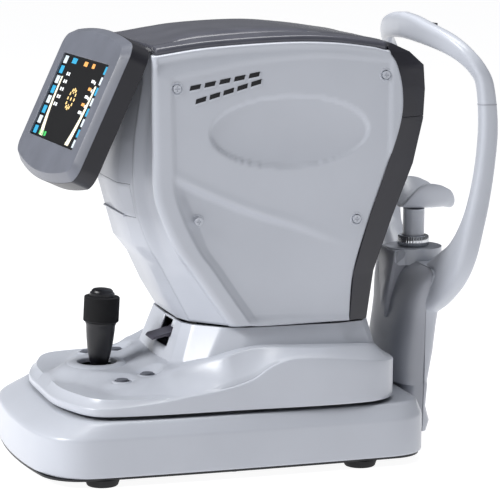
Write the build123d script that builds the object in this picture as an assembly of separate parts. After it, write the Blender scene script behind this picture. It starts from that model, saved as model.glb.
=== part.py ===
from build123d import *
import math
import os

# Autorefractor on a joystick cross slide, with chin and forehead rest.
# Millimetres, +Z up, +X towards the patient, origin on the table under the middle of the object.

# Base
BASE_REAR = -246.0
BASE_FRONT = 174.0
BASE_HALF_WIDTH = 142.0
BASE_BOW = 18.0
FOOT_HEIGHT = 8.0
PLATE_TOP = 10.0
BASE_CREASE = 51.5
BASE_TOP = 65.5
WALL = 2.5
SCREWS_UNDER_BASE = ((-225, -60), (-225, 60), (-40, -130), (-40, 130), (150, -70), (150, 70))
FOOT_PLACES = ((-176, -122), (-176, 122), (100, -122), (100, 122))

# Cross slide: racks, pinions, guide rods
MODULE = 1.0
PINION_TEETH = 24
PINION_RADIUS = MODULE * PINION_TEETH / 2
RACK_PITCH_LINE = 23.0
RACK_Y = 102.0
GEAR_WIDTH = 6.0
AXLE_X = 15.0
AXLE_Z = RACK_PITCH_LINE + PINION_RADIUS
AXLE_RADIUS = 5.0
RUNNING_FIT = 0.05
GUIDE_XS = (-20.0, 50.0)
GUIDE_Z = 55.0
GUIDE_RADIUS = 6.0

# Stage
STAGE_BOTTOM = 69.5
PLATE_LOW = 70.5
PLATE_HIGH = 74.5
PEDESTAL_TOP = 147.0
HOLE_X = -150.0
HOLE_RADIUS = 20.5
DECK_TOP = 98.0
BUTTON_PLACES = ((-142.5, -74, 93.0), (-142.5, 74, 93.0), (-113, -64, 96.0), (-113, 64, 96.0))
BUTTON_RADIUS = 7.5

# Joystick
PIVOT = (-149.0, 0.0, 80.5)
TRUNNION = 2.0
CROSS_PIN = 1.5
STICK_RADIUS = 2.0
LEAN = 3.0

# Head
HEAD_BOTTOM = 150.0
SIDE_Y = 104.0
SEAM_Y = 62.0
OPTICAL_Z = 372.0
LIFT_ROD_XS = (-20.0, 60.0)
LIFT_ROD_RADIUS = 8.0
LIFT_SCREW = (20.0, 30.0)
LIFT_SCREW_RADIUS = 5.0
FRAME_SEAM_Z = 360.0
DOOR_HINGE_X = -131.1
DOOR_LOW = 260.0
DOOR_HIGH = 294.0
SCREW_PLACES = ((-93, 395), (130, 404), (-70, 260), (100, 256))

# Monitor
DISPLAY_CENTRE = (-180.0, 0.0, 376.0)
MONITOR_TILT = 25.0
MONITOR_SWIVEL = 3.0
HINGE_V = 13.3
HINGE_W = -37.9

# Chin rest and headrest
CHIN_X = 204.5
POST_RADIUS = 11.7
RING_LOW = 207.5
RING_HIGH = 219.0


def span_box(low, high):
    """Block between two opposite corners."""
    size = [b - a for a, b in zip(low, high)]
    middle = [(a + b) / 2 for a, b in zip(low, high)]
    return Pos(*middle) * Box(*size)


def rod(start, axis, radius, length):
    """Round bar from start along axis."""
    return extrude(Plane(origin=start, z_dir=axis) * Circle(radius), length)


def tube(start, axis, outer, inner, length):
    """Round tube from start along axis."""
    return rod(start, axis, outer, length) - rod(start, axis, inner, length)


def prism_x(points, x_low, x_high):
    """Block whose outline lies in the YZ plane."""
    plane = Plane(origin=(x_low, 0, 0), x_dir=(0, 1, 0), z_dir=(1, 0, 0))
    return extrude(plane * make_face(Polyline(*points, close=True)), x_high - x_low)


def prism_y(points, y_low, y_high):
    """Block whose outline lies in the XZ plane."""
    plane = Plane(origin=(0, y_high, 0), x_dir=(1, 0, 0), z_dir=(0, -1, 0))
    return extrude(plane * make_face(Polyline(*points, close=True)), y_high - y_low)


def prism_z(points, z_low, z_high):
    """Block whose outline lies in the XY plane."""
    return extrude(Plane.XY.offset(z_low) * make_face(Polyline(*points, close=True)), z_high - z_low)


def mirrored_plan(half):
    """Closed plan outline from its half at y below zero, listed from rear to front."""
    return list(half) + [(x, -y) for x, y in reversed(half) if y != 0]


def ruled(sections):
    """Solid through a row of faces, straight between each pair."""
    return loft(sections, ruled=True)


def save(shape, node):
    """Write one node."""
    export_step(shape, "parts/" + node + ".step")


# ---------------------------------------------------------------- base

def base_outline(inset, rear_inset, z):
    """Plan of the base at height z, bowed at the rear, with round corners."""
    rear = BASE_REAR + rear_inset
    front = BASE_FRONT - inset
    half = BASE_HALF_WIDTH - inset
    corner = half - 4
    middle = (rear + front) / 2
    edges = [
        ThreePointArc((rear + BASE_BOW, -corner), (rear, 0), (rear + BASE_BOW, corner)),
        ThreePointArc((rear + BASE_BOW, corner), (middle, half), (front - 4, corner)),
        ThreePointArc((front - 4, corner), (front, 0), (front - 4, -corner)),
        ThreePointArc((front - 4, -corner), (middle, -half), (rear + BASE_BOW, -corner)),
    ]
    face = make_face(edges)
    face = fillet(face.vertices().group_by(Axis.X)[0], 44)
    face = fillet(face.vertices().group_by(Axis.X)[-1], 34)
    return Plane.XY.offset(z) * face


def base_form(inset, low, top):
    """Solid form of the base cover, upright wall below and bevel above."""
    crease = BASE_CREASE - inset / 2
    wall = extrude(base_outline(inset, inset, low), crease - low)
    bevel = ruled([base_outline(inset, inset, crease), base_outline(inset + 7, inset + 30, top)])
    return wall + bevel


def make_base():
    """Plate, cover, feet, racks and electrical parts that stand on the table."""
    plate = extrude(base_outline(1.5, 1.5, FOOT_HEIGHT), PLATE_TOP - FOOT_HEIGHT)
    cover = base_form(0, PLATE_TOP, BASE_TOP) - base_form(WALL, PLATE_TOP, BASE_TOP - WALL)
    cover -= span_box((-78, -93, BASE_TOP - 6), (92, 93, BASE_TOP + 1))
    cover -= span_box((-114, 130, 22), (-56, 146, 42))
    save(cover, "base_cover")

    feet = [Pos(x, y, FOOT_HEIGHT / 2) * Cone(15, 18, FOOT_HEIGHT) for x, y in FOOT_PLACES]
    save(Compound(children=feet), "rubber_feet")
    save(Compound(children=[rack(-RACK_Y), rack(RACK_Y)]), "rack_rails")

    supply = span_box((-205, -70, PLATE_TOP), (-135, 60, PLATE_TOP + 4))
    supply += span_box((-200, -66, PLATE_TOP + 4), (-140, 56, 48))
    save(supply, "power_supply")

    module = span_box((-113.8, 120, 22.2), (-56.2, 140.5, 41.8))
    module -= span_box((-111, 126, 25), (-89, 145, 39)) + span_box((-73.1, 130, 24.7), (-56.9, 145, 39.3))
    for x in (-106, -100, -94):
        module += span_box((x - 1, 124, 28), (x + 1, 137, 31))
    module -= rod((-75, 137, 32), (1, 0, 0), CROSS_PIN + RUNNING_FIT, 20)
    save(module, "power_inlet")
    rocker = span_box((-72.4, 136, 25.4), (-57.6, 141, 38.6)) + rod((-74.4, 137, 32), (1, 0, 0), CROSS_PIN, 18.4)
    save(rocker, "power_switch")

    screws = []
    for x, y in SCREWS_UNDER_BASE:
        plate -= rod((x, y, 0), (0, 0, 1), 1.5, 20)
        screws.append(rod((x, y, 5.5), (0, 0, 1), 3.2, 2.5) + rod((x, y, 8), (0, 0, 1), 1.5, 2))
    save(plate, "base_plate")
    return screws


def rack(y):
    """Toothed rail that one pinion rolls on."""
    pitch = math.pi * MODULE
    root = RACK_PITCH_LINE - 1.25 * MODULE
    crest = RACK_PITCH_LINE + MODULE
    low_x = -50.0
    points = [(low_x - 3, PLATE_TOP), (low_x - 3, root)]
    for index in range(38):
        middle = low_x + index * pitch
        half_root = pitch / 4 + 0.25 * MODULE
        half_crest = pitch / 4 - 0.55 * MODULE
        points += [(middle - half_root, root), (middle - half_crest, crest)]
        points += [(middle + half_crest, crest), (middle + half_root, root)]
    end = low_x + 37 * pitch + 3
    points += [(end, root), (end, PLATE_TOP)]
    return prism_y(points, y - 4, y + 4)


# ---------------------------------------------------------------- cross slide

def pinion(y):
    """Spur gear of the cross axle, one tooth space straight down at the racks' phase."""
    pitch = math.pi * MODULE
    phase = ((AXLE_X + 50.0) / pitch) % 1
    root = PINION_RADIUS - 1.25 * MODULE
    crest = PINION_RADIUS + 0.9 * MODULE
    step = 2 * math.pi / PINION_TEETH
    first = -math.pi / 2 + step / 2 - phase * step
    points = []
    for index in range(PINION_TEETH):
        middle = first + index * step
        for radius, half in ((root, 0.30), (crest, 0.10), (crest, -0.10), (root, -0.30)):
            angle = middle - half * step
            points.append((AXLE_X + radius * math.cos(angle), AXLE_Z + radius * math.sin(angle)))
    return prism_y(points, y - GEAR_WIDTH / 2, y + GEAR_WIDTH / 2)


def make_cross_slide():
    """Crossbar with its guide rods, and the axle that couples the two racks."""
    bar = Part()
    for side in (-1, 1):
        low, high = sorted((side * 88.0, side * 95.0))
        bar += span_box((GUIDE_XS[0] - 10, low, 26), (GUIDE_XS[1] + 10, high, 61.5))
    bore = rod((AXLE_X, -120, AXLE_Z), (0, 1, 0), AXLE_RADIUS + RUNNING_FIT, 240)
    for x in GUIDE_XS:
        bar += rod((x, -95, GUIDE_Z), (0, 1, 0), GUIDE_RADIUS, 190)
    save(bar - bore, "crossbar")
    save(rod((AXLE_X, -108, AXLE_Z), (0, 1, 0), AXLE_RADIUS, 216), "cross_axle")
    wheels = []
    for y in (-RACK_Y, RACK_Y):
        bore = rod((AXLE_X, y - 5, AXLE_Z), (0, 1, 0), AXLE_RADIUS, 10)
        wheels.append(pinion(y) - bore)
    save(Compound(children=wheels), "pinion_wheels")

    blocks = []
    for x in GUIDE_XS:
        for y in (-30, 30):
            block = span_box((x - 12, y - 12, 45), (x + 12, y + 12, PLATE_LOW))
            blocks.append(block - rod((x, y - 13, GUIDE_Z), (0, 1, 0), GUIDE_RADIUS + RUNNING_FIT, 26))
    save(Compound(children=blocks), "linear_bearings")


# ---------------------------------------------------------------- stage

STAGE_PLAN = ((-212, 0), (-211, -50), (-203, -84), (-190, -113), (-170, -126), (-120, -132), (-25, -135),
              (55, -138), (100, -136), (122, -129), (136, -116), (142, -95), (143, 0))
WALL_TOP = ((-212, 78), (-165, 79), (-118, 83), (-84, 88), (-50, 93), (-22, 101), (-5, 112), (12, 119),
            (29, 121), (64, 119), (99, 115), (143, 110))
DECK_LINE = ((-206, 80), (-176, 94), (-150, 98), (-108, 98.5), (-92, 106), (-60, 117), (-15, 129), (36, 128),
             (114, 124), (136, 116))


def shrunk(plan, inset, middle=-30.0):
    """Plan outline pulled in by about inset all round."""
    moved = []
    for x, y in plan:
        new_y = min(0.0, y + inset)
        new_x = x + inset if x < middle else x - inset
        moved.append((new_x, new_y))
    return moved


def stage_form(inset, low):
    """Solid form of deck and pedestal."""
    top = [(x, z - inset) for x, z in WALL_TOP]
    profile = [(top[0][0] - 5, low), (top[0][0] - 5, top[0][1])] + top[1:-1]
    profile += [(150, top[-1][1]), (150, low)]
    body = prism_z(mirrored_plan(shrunk(STAGE_PLAN, inset)), low, 140) & prism_y(profile, -160, 160)
    line = [(x, z - inset) for x, z in DECK_LINE]
    profile = [(line[0][0], low)] + line + [(line[-1][0], low)]
    body += prism_z(mirrored_plan(shrunk(STAGE_PLAN, inset + 22)), low, 140) & prism_y(profile, -160, 160)
    foot = ((-91, 0), (-88, -60), (-80, -78), (-56, -96), (-20, -104), (90, -104), (118, -98), (130, -80), (131, 0))
    neck = ((-76, 0), (-74, -54), (-66, -68), (-40, -90), (-13, -98), (80, -100), (111, -94), (122, -78), (123, 0))
    sections = []
    for z, plan in ((108, foot), (PEDESTAL_TOP - inset, neck)):
        face = make_face(Polyline(*mirrored_plan(shrunk(plan, inset)), close=True))
        sections.append(Plane.XY.offset(z) * face)
    return body + ruled(sections)


def make_stage():
    """Deck cover, plate, collar and lift parts that move with the joystick."""
    cover = stage_form(0, STAGE_BOTTOM) - stage_form(WALL, STAGE_BOTTOM - 1)
    cover += tube((HOLE_X, 0, DECK_TOP - WALL), (0, 0, 1), 31, HOLE_RADIUS, WALL + 2)
    cover -= rod((HOLE_X, 0, 80), (0, 0, 1), HOLE_RADIUS, 30)
    cover -= span_box((-61, -58, 140), (93, 58, 150))
    cover -= span_box((-100, -38, 117), (-70, 0, 145))
    for x, y, z in BUTTON_PLACES:
        cover -= rod((x, y, z - 14), (0, 0, 1), BUTTON_RADIUS + 0.3, 24)
    ribs = [span_box((-70.5, y - 2, 122), (-64, y + 2, 138)) for y in (-41, 3)]
    for rib in ribs:
        cover += rib + span_box((-82, rib.center().Y - 2, 122), (-70, rib.center().Y + 2, 126))
    cover -= rod((-68, -50, 131), (0, 1, 0), 2.05, 60)
    save(cover, "stage_cover")

    plate = prism_z(mirrored_plan(shrunk(STAGE_PLAN, 10)), PLATE_LOW, PLATE_HIGH)
    for side in (-1, 1):
        low, high = sorted((side * 15.0, side * 20.0))
        plate += span_box((PIVOT[0] - 5, low, PLATE_HIGH), (PIVOT[0] + 5, high, PIVOT[2]))
        plate += rod((PIVOT[0], low, PIVOT[2]), (0, 1, 0), 4.2, 5)
    plate -= rod((PIVOT[0], -30, PIVOT[2]), (0, 1, 0), TRUNNION + RUNNING_FIT, 60)
    save(plate, "stage_plate")

    boards = []
    for side in (-1, 1):
        low, high = sorted((side * 54.0, side * 84.0))
        board = span_box((-150, low, 80), (-104, high, 81.6))
        for x in (-146, -108):
            board += span_box((x - 3, side * 69 - 3, PLATE_HIGH), (x + 3, side * 69 + 3, 80))
        boards.append(board)
    save(Compound(children=boards), "keypad_boards")

    for number, (x, y, z) in enumerate(BUTTON_PLACES, 1):
        dome = rod((x, y, z - 6), (0, 0, 1), BUTTON_RADIUS, 7.5)
        dome += Pos(x, y, z + 2.2) * Cylinder(BUTTON_RADIUS - 1.5, 1.4)
        dome += rod((x, y, 84), (0, 0, 1), 2, z - 89)
        save(dome, "panel_button_%d" % number)

    rods = [rod((x, 0, PLATE_HIGH), (0, 0, 1), LIFT_ROD_RADIUS, 160) for x in LIFT_ROD_XS]
    save(Compound(children=rods), "lift_guide_rods")
    x, y = LIFT_SCREW
    motor = span_box((x - 21, y - 21, PLATE_HIGH), (x + 21, y + 21, 112))
    motor += rod((x, y, 112), (0, 0, 1), 11, 2)
    motor -= rod((x, y, 80), (0, 0, 1), LIFT_SCREW_RADIUS + RUNNING_FIT, 40)
    save(motor, "lift_motor")
    save(rod((x, y, 90), (0, 0, 1), LIFT_SCREW_RADIUS, 130), "lift_screw")

    lever = prism_y([(-99, 126), (-97, 129), (-80, 133), (-68, 136), (-66, 130), (-70, 126), (-84, 129)], -33, -5)
    lever += rod((-68, -43, 131), (0, 1, 0), 2, 48)
    lever += rod((-68, -38.5, 131), (0, 1, 0), 4.5, 39)
    save(lever, "lock_lever")


# ---------------------------------------------------------------- joystick

def leaned(shape):
    """Turn a piece built upright on the joystick axis by the resting lean."""
    return Pos(*PIVOT) * Rot(0, LEAN, 0) * shape


def make_joystick():
    """Gimbal ring, stick, dish, turning ring and push button, built with the pivot at zero."""
    up = (0, 0, 1)
    ring = tube((0, 0, -3), up, 12.5, 9, 6)
    for side in (-1, 1):
        ring += rod((0, side * 11, 0), (0, side, 0), TRUNNION, 8.5)
    ring -= rod((-20, 0, 0), (1, 0, 0), CROSS_PIN + RUNNING_FIT, 40)
    save(leaned(ring), "gimbal_ring")

    shaft = rod((0, 0, -3), up, 5, 7) + rod((-12, 0, 0), (1, 0, 0), CROSS_PIN, 24)
    shaft += rod((0, 0, 0), up, STICK_RADIUS, 60)
    save(leaned(shaft), "joystick_shaft")
    dish = rod((0, 0, 8.5), up, 19, 1.5) + rod((0, 0, 10), up, 8, 2)
    save(leaned(dish - rod((0, 0, 0), up, STICK_RADIUS, 20)), "joystick_dish")

    half = [(STICK_RADIUS, 20), (7.5, 20), (8.4, 26), (12.6, 48), (14.3, 58), (14.3, 61.2), (13.4, 61.4),
            (13.4, 80), (STICK_RADIUS, 80)]
    grip = revolve(Plane.XZ * make_face(Polyline(*half, close=True)), Axis.Z)
    save(leaned(grip + rod((0, 0, 60), up, STICK_RADIUS, 20)), "joystick_grip")
    save(leaned(tube((0, 0, 61.7), up, 18.6, 13.8, 27)), "joystick_ring")
    save(leaned(rod((0, 0, 83), up, 13.3, 12.5) + rod((0, 0, 95.5), up, 11.5, 2)), "joystick_button")


# ---------------------------------------------------------------- head

REAR_LEVELS = (150, 178, 210, 229, 258, 291, 340, 400)
REAR_MIDDLE = (-75, -92, -107, -122, -130, -139, -134, -120)
REAR_SEAM = (-68, -83, -100, -111, -122, -128, -127, -118)
REAR_CORNER = (-36, -56, -78, -92, -106, -116, -117, -118)
REAR_SIDE = (-26, -46, -68, -82, -97, -108, -110, -112)
TOP_MIDDLE = ((-106, 437), (-60, 448), (16, 452), (69, 448), (117, 441), (142, 436))
TOP_CORNER = ((-117, 435), (-60, 442), (16, 446), (69, 445), (117, 439), (138, 436))
TOP_SIDE = ((-113, 431), (-60, 438), (16, 442), (69, 441), (112, 436), (129, 432))
FRONT_LEVELS = (427, 413, 388, 357, 311, 256, 200, 150)
FRONT_FACE = (163, 178, 179, 177.5, 168, 146, 126, 119)
FRONT_EDGE = (158, 174, 176, 174.5, 164, 142, 122, 115)
FRONT_SEAM = (134, 142, 148, 147, 133, 113.5, 97, 93)
HEAD_STATIONS = (
    (SIDE_Y, REAR_SIDE, TOP_SIDE, FRONT_SEAM),
    (96.0, REAR_CORNER, TOP_CORNER, FRONT_EDGE),
    (SEAM_Y, REAR_SEAM, TOP_MIDDLE, FRONT_FACE),
    (40.0, REAR_MIDDLE, TOP_MIDDLE, FRONT_FACE),
)


def head_section(y, rear, top, front, inset):
    """Outline of the head across X and Z at one distance from the middle plane."""
    bottom = HEAD_BOTTOM - inset
    points = [(x + inset, z if z > HEAD_BOTTOM else bottom) for x, z in zip(rear, REAR_LEVELS)]
    points += [(x + inset if x < 0 else x - inset, z - inset) for x, z in top]
    points += [(x - inset, z if z > HEAD_BOTTOM else bottom) for x, z in zip(front, FRONT_LEVELS)]
    plane = Plane(origin=(0, y, 0), x_dir=(1, 0, 0), z_dir=(0, -1, 0))
    return plane * make_face(Polyline(*points, close=True))


def head_form(inset):
    """Solid form of the whole head."""
    rows = [(-(y - inset), rear, top, front) for y, rear, top, front in HEAD_STATIONS]
    rows += [(y - inset, rear, top, front) for y, rear, top, front in reversed(HEAD_STATIONS)]
    return ruled([head_section(y, rear, top, front, inset) for y, rear, top, front in rows])


def vent_slots():
    """Two rows of five slanted slots, as cutters through either side."""
    slots = Part()
    for x0, z0, x1, z1 in ((-74, 396, -12, 407), (-68, 383, -10, 399)):
        turn = math.degrees(math.atan2(z1 - z0, x1 - x0))
        for index in range(5):
            x = x0 + (x1 - x0) * index / 4
            z = z0 + (z1 - z0) * index / 4
            slots += Pos(x, 0, z) * Rot(0, -turn, 0) * Box(11, 230, 4.4)
    return slots


def make_head_covers():
    """Side, top, rear and front covers of the head, cut from one hollow form."""
    shell = head_form(0) - head_form(WALL)
    seam = [(129, 440), (134, 427), (142, 413), (148, 388), (147, 357), (133, 311), (113.5, 256), (97, 200), (93, 140)]
    front = prism_y([(129, 470)] + seam + [(200, 140), (200, 470)], -120, 120)
    top = span_box((-103, -95, 428), (160, 95, 470)) - front
    body = shell - front - top
    vents = vent_slots()
    for side, node in ((-1, "side_cover_left"), (1, "side_cover_right")):
        low, high = sorted((side * SEAM_Y, side * 120.0))
        cover = body & span_box((-160, low, 140), (200, high, 470))
        cover -= vents
        plane = Plane(origin=(27, side * SIDE_Y, 349), x_dir=(1, 0, 0), z_dir=(0, side, 0))
        cover -= extrude(plane * Ellipse(85, 36), -0.8)
        for x, z in SCREW_PLACES:
            cover -= rod((x, side * 102.5, z), (0, side, 0), 4.3, 10)
            cover -= rod((x, side * 90, z), (0, side, 0), 1.9, 20)
        save(cover, node)
    save(shell & top, "top_cover")

    middle = body & span_box((-160, -SEAM_Y, 140), (60, SEAM_Y, 470))
    door_box = span_box((-160, -58, DOOR_LOW), (-110, 58, DOOR_HIGH))
    gap = span_box((-160, -58.4, DOOR_LOW - 0.4), (-110, 58.4, DOOR_HIGH + 0.4))
    rear = middle - gap - span_box((-150, -26, 356), (-100, 26, 390))
    rear -= rod((DOOR_HINGE_X, -58.4, DOOR_LOW - 0.3), (0, 1, 0), 1.6, 116.8)
    door = (middle & door_box) + rod((DOOR_HINGE_X, -58, DOOR_LOW - 0.3), (0, 1, 0), 1.2, 116)
    save(rear, "rear_cover")
    save(door, "printer_door")

    opening = rod((140, 0, OPTICAL_Z), (1, 0, 0), 30, 60)
    frame = (shell & front) - opening
    save(frame & span_box((100, -120, FRAME_SEAM_Z + 0.2), (200, 120, 470)), "front_frame_upper")
    save(frame & span_box((80, -120, 140), (200, 120, FRAME_SEAM_Z - 0.2)), "front_frame_lower")
    screws = []
    for side in (-1, 1):
        for x, z in SCREW_PLACES:
            head = rod((x, side * 102.5, z), (0, side, 0), 4.1, 1.8)
            slot = Pos(x, side * 104.3, z) * (Box(5, 1.6, 1) + Box(1, 1.6, 5))
            screws.append(head + rod((x, side * 92, z), (0, side, 0), 1.9, 10.5) - slot)
    save(Compound(children=screws), "side_cover_screws")


def make_head_inside():
    """Chassis, optics, printer and electronics of the head."""
    chassis = span_box((-38, -84, 152), (96, 84, 156)) + span_box((-58, -66, 152), (-38, 66, 156))
    for side in (-1, 1):
        low, high = sorted((side * 74.0, side * 78.0))
        chassis += span_box((-44, low, 156), (84, high, 300))
    chassis += span_box((-100, -78, 300), (120, 78, 304))
    for x in LIFT_ROD_XS:
        chassis += rod((x, 0, 156), (0, 0, 1), 13, 44)
    x, y = LIFT_SCREW
    chassis += rod((x, y, 156), (0, 0, 1), 11, 24)
    for rod_x in LIFT_ROD_XS:
        chassis -= rod((rod_x, 0, 140), (0, 0, 1), LIFT_ROD_RADIUS + RUNNING_FIT, 80)
    chassis -= rod((x, y, 140), (0, 0, 1), LIFT_SCREW_RADIUS + RUNNING_FIT, 60)
    save(chassis, "head_chassis")
    shroud = span_box((-58, -55, 106), (90, 55, 152)) - span_box((-56, -53, 105), (88, 53, 153))
    save(shroud, "lift_shroud")

    barrel = tube((20, 0, OPTICAL_Z), (1, 0, 0), 30, 26, 140)
    barrel += span_box((40, -18, 304), (110, 18, OPTICAL_Z - 27)) - rod((20, 0, OPTICAL_Z), (1, 0, 0), 26, 140)
    save(barrel, "lens_barrel")
    save(rod((146, 0, OPTICAL_Z), (1, 0, 0), 26, 6), "objective_lens")
    save(tube((160, 0, OPTICAL_Z), (1, 0, 0), 28, 14, 6), "placido_ring")
    save(rod((168, 0, OPTICAL_Z), (1, 0, 0), 34, 2), "front_window")
    camera = span_box((-32, -22, OPTICAL_Z - 22), (20, 22, OPTICAL_Z + 22))
    camera += span_box((-20, -14, 304), (8, 14, OPTICAL_Z - 22))
    save(camera, "camera_module")
    board = span_box((-40, -70, 285), (80, 70, 287))
    for x0, y0, size in ((-30, -50, 22), (10, 10, 30), (50, -40, 16), (-24, 30, 14)):
        board += span_box((x0, y0, 281), (x0 + size, y0 + size, 285))
    for x0 in (-34, 70):
        board += span_box((x0, -60, 287), (x0 + 6, -54, 300)) + span_box((x0, 54, 287), (x0 + 6, 60, 300))
    save(board, "main_board")

    printer = span_box((-112, -46, 236), (-52, 46, 290)) - span_box((-120, -34, 239), (-60, 34, 294))
    for side in (-1, 1):
        low, high = sorted((side * 46.0, side * 74.0))
        printer += span_box((-60, low, 262), (-44, high, 272))
        printer += rod((-86, side * 34, 262), (0, -side, 0), 6 - RUNNING_FIT, 10)
    save(printer, "printer_unit")
    save(tube((-86, -29, 262), (0, 1, 0), 22, 6, 58), "paper_roll")


# ---------------------------------------------------------------- monitor

def monitor_frame():
    """Plane of the display: local X right, local Y up, local Z out of the screen."""
    swivel = math.radians(MONITOR_SWIVEL)
    tilt = math.radians(MONITOR_TILT)
    right = (math.sin(swivel), -math.cos(swivel), 0)
    out = (-math.cos(tilt) * math.cos(swivel), -math.cos(tilt) * math.sin(swivel), math.sin(tilt))
    return Plane(origin=DISPLAY_CENTRE, x_dir=right, z_dir=out)


def monitor_outline(inset, w):
    """Rounded outline of the monitor at depth w from the display."""
    half = 106.0 - inset
    top = 82.0 - inset
    bottom = -86.0 + inset
    edges = [
        ThreePointArc((-half, top - 9), (0, top), (half, top - 9)),
        Line((half, top - 9), (half, bottom + 13)),
        ThreePointArc((half, bottom + 13), (0, bottom), (-half, bottom + 13)),
        Line((-half, bottom + 13), (-half, top - 9)),
    ]
    face = make_face(edges)
    return Plane.XY.offset(w) * fillet(face.vertices(), 18 - inset / 2)


def make_monitor():
    """Bezel, back shell, panel, bracket and hinge pin."""
    plane = monitor_frame()
    bezel = ruled([monitor_outline(0, -8), monitor_outline(7, 0)])
    bezel -= ruled([monitor_outline(2.5, -9), monitor_outline(9.5, -2.5)])
    bezel += extrude(Pos(0, 0, -5) * Rectangle(164, 101), 3.5)
    bezel -= extrude(Pos(0, 0, -6) * Rectangle(156, 93), 8)
    bezel -= extrude(Pos(0, 0, -6) * Rectangle(160.4, 97.4), 3)
    save(plane * bezel, "monitor_bezel")
    save(plane * extrude(Pos(0, 0, -6) * Rectangle(160, 97), 3), "lcd_panel")

    back = extrude(monitor_outline(0, -27), 19)
    back += ruled([monitor_outline(0, -27), Plane.XY.offset(-36) * Pos(0, -14, 0) * Rectangle(130, 84)])
    hollow = extrude(monitor_outline(2.5, -25), 18)
    back -= hollow
    knuckle_x = ((-30, -19), (19, 30))
    for low, high in knuckle_x:
        back += rod((low, HINGE_V, HINGE_W), (1, 0, 0), 5.5, high - low)
        back += span_box((low, HINGE_V - 5.5, HINGE_W), (high, HINGE_V + 5.5, -30))
    back -= rod((-40, HINGE_V, HINGE_W), (1, 0, 0), 3 + RUNNING_FIT, 80)
    back -= span_box((-18.4, HINGE_V - 8.5, HINGE_W - 8), (18.4, HINGE_V + 8.5, -29.2))
    save(plane * back, "monitor_back")
    save(plane * rod((-32, HINGE_V, HINGE_W), (1, 0, 0), 3, 64), "monitor_hinge_pin")

    hinge = plane.from_local_coords(Vector(0, HINGE_V, HINGE_W))
    bracket = span_box((-108, -24, 304), (-104, 24, hinge.Z + 6))
    bracket += span_box((-108, -24, 304), (-90, 24, 307))
    arms = Part()
    for low in (-18, 13):
        arms += span_box((-2, low, -6), (hinge.X * -1 - 106, low + 5, 6)) + rod((0, low, 0), (0, 1, 0), 6, 5)
    arms = Pos(hinge.X, hinge.Y, hinge.Z) * Rot(0, 0, MONITOR_SWIVEL) * arms
    bracket += arms
    pin_hole = plane * rod((-40, HINGE_V, HINGE_W), (1, 0, 0), 3, 80)
    save(bracket - pin_hole, "monitor_bracket")


# ---------------------------------------------------------------- headrest and chin rest

FRAME_STATIONS = (
    # x, y, z of the centre line, size along X, size across, turn of the run from level in degrees
    (190.5, 0, 447, 15, 28, 0),
    (192, 30, 445, 15, 27, -5),
    (196, 60, 440.5, 15, 24, -12),
    (205, 90, 433, 15, 22, -22),
    (214, 109, 423, 15, 20, -38),
    (224, 120, 409, 16, 18.5, -60),
    (232, 122, 391, 17, 18, -84),
    (236.5, 121, 350, 19, 18, -90),
    (234, 121, 310, 19.5, 18, -90),
    (228, 121, 272, 21, 19, -91),
    (222, 118, 244, 23, 24, -98),
    (217, 107, 216, 25, 36, -120),
    (214, 88, 196, 26, 46, -136),
    (209, 62, 176, 28, 50, -144),
    (203, 40, 162, 30, 50, -148),
)


def frame_section(x, y, z, depth, across, turn, side):
    """Rounded section of the headrest, square to its run in the YZ plane."""
    angle = math.radians(turn)
    run = (0, side * math.cos(angle), math.sin(angle))
    plane = Plane(origin=(x, side * y, z), x_dir=(1, 0, 0), z_dir=run)
    corner = min(depth, across) * 0.28
    half_d = depth / 2
    half_a = across / 2
    points = [(half_d - corner, half_a), (half_d, half_a - corner), (half_d, corner - half_a),
              (half_d - corner, -half_a), (corner - half_d, -half_a), (-half_d, corner - half_a),
              (-half_d, half_a - corner), (corner - half_d, half_a)]
    if side < 0:
        points = [(u, -v) for u, v in points]
    return plane * make_face(Polyline(*points, close=True))


TOWER_LEVELS = (
    # height, operator face, patient face, half width
    (13.0, 175, 207, 56),
    (24, 175, 210, 58),
    (40, 175, 205, 58),
    (BASE_TOP, 175, 206.5, 60),
    (BASE_TOP + 1, 166, 207, 60),
    (100, 169, 213, 60),
    (129, 173, 216, 60),
    (144, 175, 218, 58),
    (162, 176, 222, 53),
    (190, 179, 233, 44),
)


def tower_section(z, rear, front, half, inset):
    """D-shaped plan of the tower at one height."""
    rear_x = rear + inset
    front_x = front - inset
    side = half - inset
    points = [(rear_x, -side + 14), (rear_x + 5, -side + 4), (rear_x + 14, -side), (front_x - 12, -side + 1),
              (front_x - 2, -side + 7), (front_x, -side + 20)]
    return Plane.XY.offset(z) * make_face(Polyline(*mirrored_plan(points), close=True))


def tower_form(inset):
    """Solid form of the tower, standing on the base and hanging over its end."""
    return ruled([tower_section(z, rear, front, half, inset) for z, rear, front, half in TOWER_LEVELS])


def make_yoke_screws():
    """Screws that clamp the yoke arms, one each side."""
    screws = Part()
    for side in (-1, 1):
        screws += rod((222, side * 96, 204), (0, side, 0), 1.9, 12) + rod((222, side * 108, 204), (0, side, 0), 4, 3)
    return screws


def make_headrest():
    """Tower, its back cover, the yoke with uprights and arch, and the forehead pad."""
    run = [frame_section(*row, -1) for row in reversed(FRAME_STATIONS)]
    run += [frame_section(*row, 1) for row in FRAME_STATIONS[1:]]
    frame = ruled(run)
    outer = tower_form(0)
    cap = outer & span_box((160, -62, 187.5), (240, 62, 190))
    inner = tower_form(WALL)
    well = rod((CHIN_X, 0, 186), (0, 0, 1), POST_RADIUS + 1, 10)
    back = span_box((196, -70, 0), (240, 70, 260))
    front = span_box((150, -70, 0), (196, 70, 260))
    save((outer & front) - inner + (cap & front) - well, "tower_shell")
    save((outer & back) - inner + (cap & back) - well, "tower_back_cover")
    frame -= outer + make_yoke_screws()
    save(frame, "headrest_frame")
    pad = prism_z([(196.5, 0), (198, 30), (201, 52), (207.5, 50), (205, 28), (203.5, 0), (205, -28), (207.5, -50),
                   (201, -52), (198, -30)], 437, 452)
    save(pad - frame, "forehead_pad")


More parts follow.
